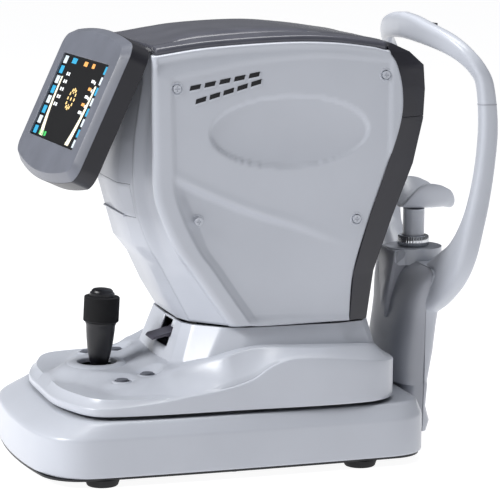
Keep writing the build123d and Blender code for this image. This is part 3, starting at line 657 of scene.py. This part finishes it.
def side_cover(side, name, node):
    """Side cover as a grid from the rear seam to the front seam."""
    column_parts = np.concatenate([np.linspace(0, 1, 15)[:-1], 1 + np.linspace(0, 1, 9)[:-1],
                                   2 + np.linspace(0, 1, 130)])
    row_parts = np.concatenate([np.linspace(0, 1, 110), 1 + np.linspace(0, 1, 6)[1:]])
    rows = []
    for v in row_parts:
        row = []
        for u in column_parts:
            share = min(v, 1.0)
            top_z = 436.0
            for settle in range(3):
                z = HEAD_BOTTOM + share * (top_z - HEAD_BOTTOM)
                seam_x = read(seam_curve, z)
                corner_x = read(corner_curve, z)
                side_x = read(rear_side_curve, z)
                front_x = read(front_seam_curve, z)
                if u < 1:
                    x, y = seam_x + (corner_x - seam_x) * u, SEAM_Y + (CORNER_Y - SEAM_Y) * u
                    hollow = 8 * eased(u / 0.3) * eased((0.98 - u) / 0.14)
                    x += hollow * eased((z - 196) / 50) * eased((432 - z) / 6)
                elif u < 2:
                    bend = (u - 1) * math.pi / 2
                    x = side_x + (corner_x - side_x) * math.cos(bend)
                    x -= 1.4 * math.sin(2 * bend)
                    y = CORNER_Y + (SIDE_Y - CORNER_Y) * math.sin(bend)
                else:
                    x, y = side_x + (front_x - side_x) * (u - 2), SIDE_Y
                top_z = read(top_side_curve, x) - TOP_DROP
            if u >= 2:
                y += side_relief(x, z, side_x) * eased(share * 40) * eased((1 - share) * 40)
            if v > 1:
                bend = (v - 1) * math.pi / 2
                y -= 3.6 * (1 - math.cos(bend)) if u >= 1.5 else 0
                z += 2.0 * math.sin(bend)
            row.append((x, side * y, z))
        rows.append(row)

    return woven(name, rows, white_abs, "head", [node], wall_mm=2.5, sharp=55,
                 cut=screw_holes, flip=side > 0)


side_cover(-1, "side_cover_left_skin", "side_cover_left")
side_cover(1, "side_cover_right_skin", "side_cover_right")
dress("side_cover_screws", white_abs, 0.2)

SCREW_CUP = [(0, -1.2), (1.0, -1.2), (1.2, -0.7), (3.5, -0.6), (4.0, -0.9), (4.2, -1.6),
             (4.6, -1.6), (4.8, -0.6), (5.5, 0.2), (6.3, 0.4), (7.2, 0.1), (7.4, -0.8)]
for side, label in ((-1, "left"), (1, "right")):
    for number, (x, z) in enumerate(COVER_SCREWS, 1):
        y = side * (SIDE_Y + side_relief(x, z, read(rear_side_curve, z)))
        place = Matrix.Translation((x * MM, y * MM, z * MM))
        place = place @ Matrix.Rotation(-side * math.pi / 2, 4, "X")
        turned("cover_screw_cup_%s_%d" % (label, number), SCREW_CUP, white_abs, "head",
               place=place, steps=32)

# Shade behind a vent: all but black and without a highlight.
slot_dark = mottled("dark_vent_shadow", "#1A1A1E", "#141418", 10, 0.8, 0.05, 1.0, 0.02)
# White lip and dark slot of a vent: shift in x and z, width, height, lift.
VENT_LIPS = ((0.8, -1.1, 12.6, 6.0, 0.45), (0.0, 0.0, 11.2, 4.6, 0.6))
VENT_SKEW = 0.45


def vent(side, number, x, z, turn, width, height, material, lift):
    """Rounded slanted bar lying in the side surface."""
    bm = bmesh.new()
    bar = Matrix.Diagonal((width * MM, 1.0 * MM, height * MM, 1.0))
    bmesh.ops.create_cube(bm, size=1.0, matrix=bar)
    skew = Matrix(((1, 0, VENT_SKEW, 0), (0, 1, 0, 0), (0, 0, 1, 0), (0, 0, 0, 1)))
    bmesh.ops.transform(bm, matrix=skew, verts=bm.verts)
    bmesh.ops.bevel(bm, geom=bm.edges, offset=0.4 * MM, affect="EDGES", segments=2,
                    profile=0.5, material=-1)
    y = side * (SIDE_Y + side_relief(x, z, read(rear_side_curve, z)) - 0.5 + lift)
    place = Matrix.Translation((x * MM, y * MM, z * MM)) @ Matrix.Rotation(-turn, 4, "Y")
    bmesh.ops.transform(bm, matrix=place, verts=bm.verts)
    label = "left" if side < 0 else "right"
    name = "vent_%s_%s_%d" % (material.name[:4], label, number)
    return finished(bm, name, material, "head")


for side in (-1, 1):
    for number, (x, z) in enumerate(VENTS):
        turn = math.atan2(11, 62) if number < 5 else math.atan2(16, 58)
        for material, lip_sizes in zip((white_abs, slot_dark), VENT_LIPS):
            shift_x, shift_z, width, height, lift = lip_sizes
            vent(side, number, x + shift_x, z + shift_z, turn, width, height, material, lift)

# ---------------------------------------------------------------------------
# Rear cover, printer door and top cover of the head: moulded shells that close
# the gap between the two side covers. The top cover is grey and glossy, with a
# shallow step along each side.

# Glossy ABS: mid grey, with the lights drawn out along its crown.
strip_plastic = mottled("grey_gloss_abs", "#55565F", "#4D4E57", 30, 0.2, 0.04, 0.8, 0.01)


def soft_copy(node, material, body, name, edge_mm=0.6, sharp=32,
              segments=2):
    """Copy of a CAD node with its points merged, smooth shading and broken edges."""
    bm = bmesh.new()
    bm.from_mesh(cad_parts[node].data)
    bmesh.ops.remove_doubles(bm, verts=bm.verts, dist=2e-5)
    bmesh.ops.dissolve_degenerate(bm, edges=bm.edges, dist=1e-5)
    bmesh.ops.recalc_face_normals(bm, faces=bm.faces)
    piece = finished(bm, name, material, body, [node], 0.0, sharp)
    if edge_mm:
        edge = piece.modifiers.new("broken_edges", "BEVEL")
        edge.width = edge_mm * MM
        edge.segments = segments
        edge.limit_method = "ANGLE"
        edge.angle_limit = math.radians(sharp + 8)
    return piece


soft_copy("rear_cover", white_abs, "head", "rear_cover_skin", 0.5)
door_skin = soft_copy("printer_door", white_abs, "printer_door", "printer_door_skin", 0.6)
# The hinge barrel of the door, drawn no wider than 80 mm.
HINGE_HALF = 0.040
BARREL_FRONT = -0.1295
BARREL_TOP = 0.2612
for vert in door_skin.data.vertices:
    on_barrel = vert.co.x < BARREL_FRONT and vert.co.z < BARREL_TOP
    if abs(vert.co.y) > HINGE_HALF and on_barrel:
        vert.co.y = math.copysign(HINGE_HALF, vert.co.y)
TOP_CORNER = ((-117, 435), (-60, 442), (16, 446), (69, 445), (117, 439), (138, 436))
TOP_MIDDLE = ((-106, 437), (-60, 448), (16, 452), (69, 448), (117, 441), (142, 436))
top_middle_curve = through(TOP_MIDDLE, TABLE_POINTS)
top_corner_curve = through(TOP_CORNER, TABLE_POINTS)
# Across the cover: y, lift, share of the way from the corner line to the crown line.
TOP_ACROSS = ((100.4, -9, 0), (100.4, -3.5, 0), (100, -1.6, 0), (98.8, -0.4, 0),
              (96.5, 0.3, 0), (90, 0.9, 0.12), (84, 1.2, 0.24), (83.4, 0.5, 0.26),
              (81.6, 0.5, 0.3), (81, 1.3, 0.31), (62, 0.6, 0.85), (40, 0, 1.0), (0, 0.3, 1.0))
TOP_REAR, TOP_FRONT, TOP_ROWS = -113.5, 131, 84
top_rows = []
for x in np.linspace(TOP_REAR, TOP_FRONT, TOP_ROWS):
    low, high = read(top_corner_curve, x), read(top_middle_curve, x)
    half_row = [(x, y, low + (high - low) * share + lift) for y, lift, share in TOP_ACROSS]
    top_rows.append([(x, -y, z) for x, y, z in half_row] + half_row[-2::-1])
rear_lip = [[(x - 0.6, y, z - 8) for x, y, z in top_rows[0]],
            [(x - 0.5, y, z - 1.2) for x, y, z in top_rows[0]]]
woven("top_cover_skin", rear_lip + top_rows, strip_plastic, "head", ["top_cover"],
      wall_mm=2.5, sharp=50, flip=True)

# ---------------------------------------------------------------------------
# Front frames and window: charcoal mouldings round the measuring port, split by a
# level seam, with a dark glass behind the port.

# Charcoal ABS: dark grey with a soft sheen.
charcoal_abs = mottled("charcoal_moulded_abs", "#2A2A32", "#26262D", 45, 0.36, 0.05, 0.5, 0.02)
# Coated glass: deep blue black, mirror smooth.
dark_glass = mottled("coated_dark_glass", "#0B0D14", "#090B11", 40, 0.06, 0.02, 30, 0.001)
soft_copy("front_frame_upper", charcoal_abs, "head", "front_frame_upper_skin", 1.2,
          segments=3)
soft_copy("front_frame_lower", charcoal_abs, "head", "front_frame_lower_skin", 1.2,
          segments=3)
dress("front_window", dark_glass)

# ---------------------------------------------------------------------------
# Inside of the head: aluminium chassis with the optics, camera, board and the
# thermal printer with its paper roll.

# Opal diffuser: warm white, no sharp highlight.
ring_plastic = mottled("white_ring_diffuser", "#E6E4DC", "#DDDBD3", 10, 0.4, 0.05, 0.6, 0.02)
# Thermal paper: matt, faintly warm white.
thermal_paper = mottled("thermal_paper", "#F2F1EC", "#EAE9E3", 14, 0.75, 0.05, 0.4, 0.02)
dress("head_chassis", cast_aluminium, 0.4)
dress("lens_barrel", satin_black, 0.4)
dress("objective_lens", dark_glass, 0.4)
dress("placido_ring", ring_plastic, 0.3)
dress("camera_module", satin_black, 0.5)
dress("main_board", circuit_green)
dress("printer_unit", satin_black, 0.5)
dress("paper_roll", thermal_paper, 0.5)

# ---------------------------------------------------------------------------
# Monitor: grey bezel with a chamfer, display panel behind it, dark back shell
# tapering to the hinge knuckles, steel pin and a bracket fixed to the head
# chassis. The picture is plain blocks, wedges and a ring of dots, self-lit.

# Moulded ABS: warm mid grey bezel, darker grey back, both semi-matt.
bezel_grey = mottled("warm_grey_moulded_abs", "#686B75", "#61646D", 35, 0.36, 0.05, 0.5, 0.02)
back_grey = mottled("dark_grey_moulded_abs", "#222229", "#1E1E25", 35, 0.4, 0.05, 0.5, 0.02)
# Display glass, unlit: black with a dull sheen.
panel_black = mottled("black_display_glass", "#020203", "#010102", 60, 0.35, 0.02, 30, 0.001)
soft_copy("monitor_bezel", bezel_grey, "monitor", "monitor_bezel_skin", 0.8, 30, 3)
soft_copy("monitor_back", back_grey, "monitor", "monitor_back_skin", 1.2, 30, 3)
dress("lcd_panel", panel_black)
dress("monitor_hinge_pin", ground_steel)

TILT, SWIVEL = math.radians(25.0), math.radians(3.0)
across_axis = Vector((math.sin(SWIVEL), -math.cos(SWIVEL), 0))
out_axis = Vector((-math.cos(TILT) * math.cos(SWIVEL), -math.cos(TILT) * math.sin(SWIVEL),
                   math.sin(TILT)))
display = Matrix((across_axis, out_axis.cross(across_axis), out_axis)).transposed().to_4x4()
DISPLAY_MIDDLE = (-0.180, 0, 0.376)
DISPLAY_DEPTH = -2.85
display = Matrix.Translation(DISPLAY_MIDDLE) @ display


def lit(name, code, strength=0.55):
    """Self-lit display colour with a slight evenly spread texture."""
    material = mottled(name, code, code, 3, 0.3, 0.03, 0.4, 0.005)
    shader = material.node_tree.nodes["Principled BSDF"]
    shader.inputs["Emission Color"].default_value = linear(code)
    shader.inputs["Emission Strength"].default_value = strength
    return material


def shapes(name, polygons, material):
    """Flat shapes lying just over the display panel, in display millimetres."""
    bm = bmesh.new()
    for polygon in polygons:
        bm.faces.new([bm.verts.new((u * MM, v * MM, DISPLAY_DEPTH * MM)) for u, v in polygon])
    bmesh.ops.recalc_face_normals(bm, faces=bm.faces)
    for face in bm.faces:
        if face.normal.z < 0:
            face.normal_flip()
    bmesh.ops.transform(bm, matrix=display, verts=bm.verts)
    return finished(bm, name, material, "monitor")


def block(u, v, width, height):
    """Corners of a level rectangle."""
    left, right_edge = u - width / 2, u + width / 2
    low, high = v - height / 2, v + height / 2
    return [(left, low), (right_edge, low), (right_edge, high), (left, high)]


# Column of tiles at each edge of the display.
pale_tiles, teal_tiles = [], [block(-40, 41, 16, 6)]
for index in range(8):
    for u in (-70, 70):
        tile = block(u, 40 - index * 11.4, 12, 8.6)
        if (index + (u > 0)) % 2:
            teal_tiles.append(tile)
        else:
            pale_tiles.append(tile)
# Rows of small marks inside them.
marks, orange_marks = [], [block(0, 41, 12, 5), block(26, 41, 9, 5)]
for index in range(5):
    v = 26 - index * 8.5
    marks += [block(-46 + 7 * k, v, 4.6, 3.6) for k in range(2)]
    if index % 2:
        orange_marks.append(block(44, v, 9.5, 3.2))
    else:
        marks.append(block(44, v, 9.5, 3.2))
    marks.append(block(52, v - 1, 3.6, 3.2))
# Ring of dots round the middle.
RING_DOTS, RING_RADIUS, DOT_RADIUS, DOT_CORNERS = 12, 10.5, 2, 8
gold_dots = [block(0, 2, 3.4, 3.4), block(0, 9, 2.4, 2.4), block(0, -5, 2.4, 2.4)]
for index in range(RING_DOTS):
    angle = 2 * math.pi * index / RING_DOTS
    u, v = RING_RADIUS * math.cos(angle), 2 + RING_RADIUS * math.sin(angle)
    corners = [2 * math.pi * k / DOT_CORNERS for k in range(DOT_CORNERS)]
    gold_dots.append([(u + DOT_RADIUS * math.cos(c), v + DOT_RADIUS * math.sin(c))
                      for c in corners])
# A curved wedge down each side.
wedges = []
for side in (-1, 1):
    inner = [(side * (56 - 16 * (k / 8) ** 2), 22 - 66 * k / 8) for k in range(9)]
    outer = [(side * (61 - 9 * (k / 8) ** 2), 22 - 66 * k / 8) for k in range(9)]
    wedges += [[inner[k], inner[k + 1], outer[k + 1], outer[k]] for k in range(8)]
green_marks = [block(-52 + 9 * k, -41, 6.5, 5) for k in range(3)]
shapes("display_pale_tiles", pale_tiles, lit("display_pale_grey", "#B9C3C9"))
shapes("display_teal_tiles", teal_tiles, lit("display_teal", "#2F8FB4"))
shapes("display_white_marks", marks, lit("display_white", "#D9DCDD"))
shapes("display_orange_marks", orange_marks, lit("display_orange", "#D99A55"))
shapes("display_gold_ring", gold_dots, lit("display_gold", "#E8C784"))
shapes("display_cream_wedges", wedges, lit("display_cream", "#E3DCC4"))
shapes("display_green_marks", green_marks, lit("display_green", "#3FAF5A"))
dress("monitor_bracket", back_grey, 0.6)

# ---------------------------------------------------------------------------
# Headrest: a tower in two moulded shells on the base, the operator-side one painted in a darker
# grey for the shade under the head, one white moulded tube that forms the yoke, both uprights and
# the arch, a grey line round each upright at eye height, and a vinyl pad over foam on the arch.

# Satin ABS, a little duller than the white covers; its darker grey is painted shade on the
# tower's front shell and the chin rest nose, and the real grey of the eye-level lines.
grey_and_painted_shade = mottled("satin_bluish_grey_abs", "#A9ACB4", "#A3A6AF", 50, 0.36, 0.04, 0.5, 0.02)
TOWER_HEIGHTS = (
    # height, operator face, patient face, half width
    (13, 175, 207, 56), (24, 175, 210, 58), (40, 175, 205, 58), (65, 175, 206.5, 60),
    (66.5, 167, 207, 60), (70, 166, 207.5, 60), (100, 169, 213, 60), (129, 173, 216, 60),
    (144, 175, 218, 61), (156, 176, 221, 64), (168, 178, 225, 69), (178, 181, 229, 74),
    (186, 185, 231, 78), (191, 190, 230, 78), (194, 195, 228, 74), (195, 197, 226, 68),
)


TOWER_STEPS = 96
TOWER_SEAM = 196


def tower_rows(low_x, high_x):
    """Rounded plans of the tower, kept between two planes across X."""
    rows = []
    for z, rear, front, half in TOWER_HEIGHTS:
        row = []
        for step in range(TOWER_STEPS + 1):
            angle = 2 * math.pi * step / TOWER_STEPS
            cosine, sine = math.cos(angle), math.sin(angle)
            x = (rear + front) / 2 + (front - rear) / 2 * math.copysign(abs(cosine) ** 0.6, cosine)
            y = half * math.copysign(abs(sine) ** 0.5, sine)
            row.append((min(max(x, low_x), high_x), y, z))
        rows.append(row)
    return rows


# The operator-side shell is drawn in the darker grey: painted shade under the head.
woven("tower_shell_skin", tower_rows(150, TOWER_SEAM - 0.2), grey_and_painted_shade, "base",
      ["tower_shell"], closed=True, caps=True, sharp=40)
woven("tower_back_cover_skin", tower_rows(TOWER_SEAM + 0.2, 250), white_abs, "base",
      ["tower_back_cover"], closed=True, caps=True, sharp=40)

FRAME_STATIONS = (
    # x, y, z, depth along X, width across, turn of the run in degrees
    (190.5, 0, 447, 15, 28, 0), (192, 30, 445, 15, 27, -5), (196, 60, 440.5, 15, 24, -12),
    (205, 90, 433, 15, 22, -22), (214, 109, 423, 15, 20, -38), (224, 120, 409, 16, 18.5, -60),
    (232, 122, 391, 17, 18, -84), (236.5, 121, 350, 19, 18, -90), (234, 121, 310, 19.5, 18, -90),
    (228, 121, 272, 21, 19, -91), (222, 118, 244, 23, 24, -98), (217, 107, 216, 25, 36, -120),
    (214, 88, 196, 26, 46, -136), (209, 62, 176, 28, 50, -144), (203, 40, 162, 30, 50, -148),
)
SECTION_POINTS = 41
SECTION_POWER = 0.62


def tube_row(station, side):
    """Rounded section of the headrest tube at one station."""
    x, y, z, depth, across, turn = station
    turn = math.radians(turn)
    row = []
    for step in range(SECTION_POINTS):
        angle = 2 * math.pi * step / (SECTION_POINTS - 1)
        cosine, sine = math.cos(angle), math.sin(angle)
        u = depth / 2 * math.copysign(abs(cosine) ** SECTION_POWER, cosine)
        v = across / 2 * math.copysign(abs(sine) ** SECTION_POWER, sine)
        row.append((x + u, side * (y - v * math.sin(turn)), z + v * math.cos(turn)))
    return row


stations = through(FRAME_STATIONS, 140)
tube_rows = [tube_row(station, -1) for station in stations[::-1]]
tube_rows += [tube_row(station, 1) for station in stations[1:]]
woven("headrest_frame_skin", tube_rows, white_abs, "base", ["headrest_frame"], closed=True,
      caps=True, sharp=50)

# The stations from the yoke upwards, where the height only rises.
ARCH_END = 50
MARK_HEIGHTS = (372.4, 372.9, 373.5)
MARK_PROUD = 0.5
upright = stations[:ARCH_END:-1]
for side, label in ((-1, "left"), (1, "right")):
    mark_rows = []
    for z in MARK_HEIGHTS:
        station = [float(np.interp(z, upright[:, 2], upright[:, axis])) for axis in range(6)]
        station[3] += MARK_PROUD
        station[4] += MARK_PROUD
        mark_rows.append(tube_row(station, side))
    woven("eye_level_mark_" + label, mark_rows, grey_and_painted_shade, "base", closed=True, sharp=50)
# Embossed vinyl: dark grey, dull, with a pebbled surface.
pad_vinyl = mottled("grey_embossed_vinyl", "#3A3C42", "#34363B", 16, 0.55, 0.06, 1.2, 0.15)
forehead_pad = soft_copy("forehead_pad", pad_vinyl, "base", "forehead_pad_skin", 1.6, 30,
                         3)

# ---------------------------------------------------------------------------
# Chin rest: white housing with a tapering nose on the tower, painted grey for the shade it lies
# in, knurled chrome ring on a white post, and a moulded saddle-shaped cup that rises with the post.

soft_copy("chinrest_housing", white_abs, "base", "chinrest_housing_skin", 0.8)
# Plans of the nose: height, operator face, patient face, half width.
NOSE_ROWS = ((205.5, 173, 196, 25), (204, 172, 196, 26), (192, 171, 196, 24), (178, 170.5, 190, 19),
             (160, 170, 186, 13), (142, 170, 182, 7.5), (130, 171.5, 180, 3.5))
nose_rows = []
for z, rear, front, half in NOSE_ROWS:
    far_half = [(rear, half * 0.72, z), (rear + 1.5, half * 0.9, z), (rear + 5, half, z),
                (front, half * 0.9, z)]
    near_half = [(x, -y, z) for x, y, z in far_half[::-1]]
    nose_rows.append(near_half + far_half + near_half[:1])
# The nose is drawn in the darker grey: painted shade under the head.
woven("chinrest_nose", nose_rows, grey_and_painted_shade, "base", closed=True, caps=True, sharp=30)
# Bright chrome plate: a clear mirror with sharp dark and light streaks.
chrome_plate = mottled("bright_chrome_plate", "#D9DBDE", "#C9CCD0",
                       8, 0.1, 0.04, 1.5, 0.01, metal=1.0)
POST_X = 0.2045
KNURL_STEPS = 120
KNURL_DEPTH = 0.0009
RIM_FROM = 0.016
KNURL_PROFILE = [(12.4, 207.6), (15.6, 207.6), (16.4, 208.2), (16.9, 209), (16.9, 217.6),
                 (16.4, 218.4), (15.6, 219), (12.4, 219), (12.4, 207.6)]
knurled = turned("chin_ring_skin", KNURL_PROFILE, chrome_plate, "chin_height_ring",
                 ["chin_ring"], steps=KNURL_STEPS, place=Matrix.Translation((POST_X, 0, 0)))
for vert in knurled.data.vertices:
    offset = Vector((vert.co.x - POST_X, vert.co.y, 0))
    angle = math.atan2(offset.y, offset.x)
    if offset.length > RIM_FROM and round(angle / (2 * math.pi) * KNURL_STEPS) % 3 == 0:
        vert.co -= offset.normalized() * KNURL_DEPTH
dress("chin_post", white_abs)

# The cup as sections across it, from one tip to the other: each rounded, highest at
# the tips, and falling away towards the patient and the operator.
CUP_X, CUP_HALF_X, CUP_HALF_Y = 216.5, 29.5, 32
CUP_TOP, CUP_BOTTOM, TIP_RISE = 263, 248.2, 21
CUP_SECTIONS, CUP_POINTS = 32, 48
cup_rows = []
for step in range(CUP_SECTIONS + 1):
    across = -1 + step / (CUP_SECTIONS / 2)
    reach = math.sqrt(max(0.0, 1 - abs(across) ** 3.2))
    row = []
    for turn in range(CUP_POINTS + 1):
        angle = 2 * math.pi * turn / CUP_POINTS
        cosine, sine = math.cos(angle), math.sin(angle)
        x = CUP_X + CUP_HALF_X * (0.35 + 0.65 * reach) * math.copysign(abs(cosine) ** 0.75, cosine)
        top = CUP_TOP + TIP_RISE * abs(across) ** 1.7
        top = top - 15 * (max(x - 212, 0) / 34) ** 1.4 - 10 * (max(206 - x, 0) / 19) ** 2
        bottom = CUP_BOTTOM + TIP_RISE * abs(across) ** 2.2
        middle, half = (top + bottom) / 2, max((top - bottom) / 2, 2.5)
        rise = half * math.copysign(abs(sine) ** 0.7, sine) * (0.3 + 0.7 * reach)
        row.append((x, CUP_HALF_Y * across, middle + rise))
    cup_rows.append(row)
woven("chin_cup_skin", cup_rows, white_abs, "chin_rest", ["chin_cup"], closed=True, caps=True,
      sharp=60)
